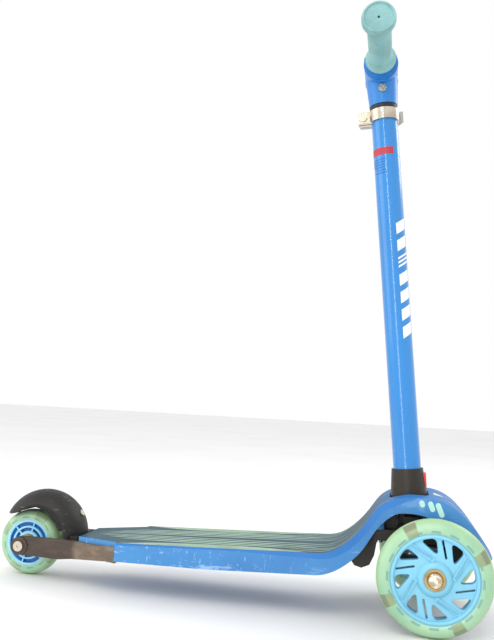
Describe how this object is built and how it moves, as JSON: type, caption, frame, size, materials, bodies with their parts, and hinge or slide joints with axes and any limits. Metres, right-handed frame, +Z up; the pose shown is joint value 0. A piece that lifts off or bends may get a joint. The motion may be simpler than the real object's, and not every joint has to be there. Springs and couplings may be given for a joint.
{
  "type": "lean-to-steer kick scooter",
  "caption": "Child's lean-to-steer kick scooter with two lit front wheels, a small rear wheel, T-bar with telescopic height, curved deck and rear fender brake.",
  "frame": {"origin": "on the ground under the middle of the whole scooter, centre plane of the deck", "axes": "+X forward, +Y to the rider's left, +Z up"},
  "size_m": [0.6045, 0.282, 0.6721],
  "materials": {
    "arm_metal": "worn",
    "bearing_steel": "satin",
    "black_plastic": "matte",
    "bush_black": "matte",
    "button_red": "glossy",
    "deck_blue": "glossy",
    "grip_green": "matte",
    "grip_teal": "matte",
    "lamp_metal": "satin",
    "pad_grey": "matte",
    "spring_steel": "satin",
    "steel": "satin",
    "tee_blue": "glossy",
    "tube_blue": "glossy",
    "tyre_mint": "satin",
    "wheel_blue": "glossy",
    "zinc": "bright"
  },
  "bodies": {
    "deck": {"deck_shell": "deck_blue", "grip_waves": "grip_green", "side_stripes": "grip_green", "rear_arm_left": "arm_metal", "rear_arm_right": "arm_metal", "arm_screws": "zinc", "rear_axle": "zinc", "rear_axle_nut": "steel", "rear_spacer_left": "steel", "rear_spacer_right": "steel", "fender_pin": "steel", "fender_spring": "spring_steel", "front_truck": "black_plastic", "truck_screws": "zinc", "lean_pin": "steel", "kingpin_left": "steel", "kingpin_right": "steel", "lean_spring_left": "spring_steel", "lean_spring_right": "spring_steel"},
    "column": {"steering_socket": "black_plastic", "steering_tube": "tube_blue", "guide_bush": "bush_black", "clamp_collar": "zinc", "clamp_bolt": "zinc", "cam_pin": "steel", "button_spring": "spring_steel"},
    "release_button": {"release_button": "button_red"},
    "clamp_lever": {"clamp_lever": "steel"},
    "handlebar": {"height_tube": "steel", "handlebar_tee": "tee_blue", "tee_bolts": "zinc", "crossbar": "steel", "grip_left": "grip_teal", "grip_right": "grip_teal"},
    "knuckle_left": {"knuckle_left": "black_plastic", "axle_bolt_left": "zinc"},
    "knuckle_right": {"knuckle_right": "black_plastic", "axle_bolt_right": "zinc"},
    "tie_rod": {"tie_rod": "steel"},
    "front_wheel_left": {"front_rim_left": "wheel_blue", "front_tyre_left": "tyre_mint", "front_lamps_left": "lamp_metal", "front_bearings_left": "bearing_steel", "front_sleeve_left": "steel"},
    "front_wheel_right": {"front_rim_right": "wheel_blue", "front_tyre_right": "tyre_mint", "front_lamps_right": "lamp_metal", "front_bearings_right": "bearing_steel", "front_sleeve_right": "steel"},
    "rear_wheel": {"rear_rim": "wheel_blue", "rear_tyre": "tyre_mint", "rear_lamps": "lamp_metal", "rear_bearings": "bearing_steel", "rear_sleeve": "steel"},
    "brake_fender": {"brake_fender": "black_plastic", "brake_pad": "pad_grey", "fender_rivet": "steel"}
  },
  "joints": [
    {"name": "lean", "type": "hinge", "parent": "deck", "child": "column", "pos_m": [0.211, 0, 0.104], "axis": [1, 0, 0], "range_deg": [-10, 10], "stiffness_Nm_per_rad": 40, "deforming": ["lean_spring_left", "lean_spring_right"]},
    {"name": "steer_left", "type": "hinge", "parent": "deck", "child": "knuckle_left", "pos_m": [0.235, 0.052, 0.0605], "axis": [0, 0, 1], "range_deg": [-10.5, 10.5]},
    {"name": "steer_right", "type": "hinge", "parent": "deck", "child": "knuckle_right", "pos_m": [0.235, -0.052, 0.0605], "axis": [0, 0, 1], "range_deg": [-10.5, 10.5]},
    {"name": "tie_slide", "type": "slide", "parent": "deck", "child": "tie_rod", "axis": [0, 1, 0], "range_m": [-0.0057, 0.0057]},
    {"name": "front_spin_left", "type": "hinge", "parent": "knuckle_left", "child": "front_wheel_left", "pos_m": [0.235, 0.0848, 0.0605], "axis": [0, 1, 0], "continuous": true},
    {"name": "front_spin_right", "type": "hinge", "parent": "knuckle_right", "child": "front_wheel_right", "pos_m": [0.235, -0.0848, 0.0605], "axis": [0, 1, 0], "continuous": true},
    {"name": "rear_spin", "type": "hinge", "parent": "deck", "child": "rear_wheel", "pos_m": [-0.263, 0, 0.04], "axis": [0, 1, 0], "continuous": true},
    {"name": "brake", "type": "hinge", "parent": "deck", "child": "brake_fender", "pos_m": [-0.193, 0, 0.041], "axis": [0, 1, 0], "range_deg": [-4, 0], "stiffness_Nm_per_rad": 4, "springref_deg": 4.58, "deforming": ["fender_spring"]},
    {"name": "bar_height", "type": "slide", "parent": "column", "child": "handlebar", "axis": [-0.092, 0, 0.9958], "range_m": [0, 0.1]},
    {"name": "clamp", "type": "hinge", "parent": "column", "child": "clamp_lever", "pos_m": [0.13997, 0.0115, 0.59003], "axis": [-0.092, 0, 0.9958], "range_deg": [0, 110]},
    {"name": "button", "type": "slide", "parent": "column", "child": "release_button", "axis": [-0.9958, 0, -0.092], "range_m": [0, 0.0025], "stiffness_N_per_m": 900, "springref_m": -0.004, "deforming": ["button_spring"]}
  ],
  "couplings": [
    {"joint": "steer_left", "follows": "lean", "ratio": -1},
    {"joint": "steer_right", "follows": "lean", "ratio": -1},
    {"joint": "tie_slide", "follows": "lean", "m_per_rad": 0.032}
  ]
}
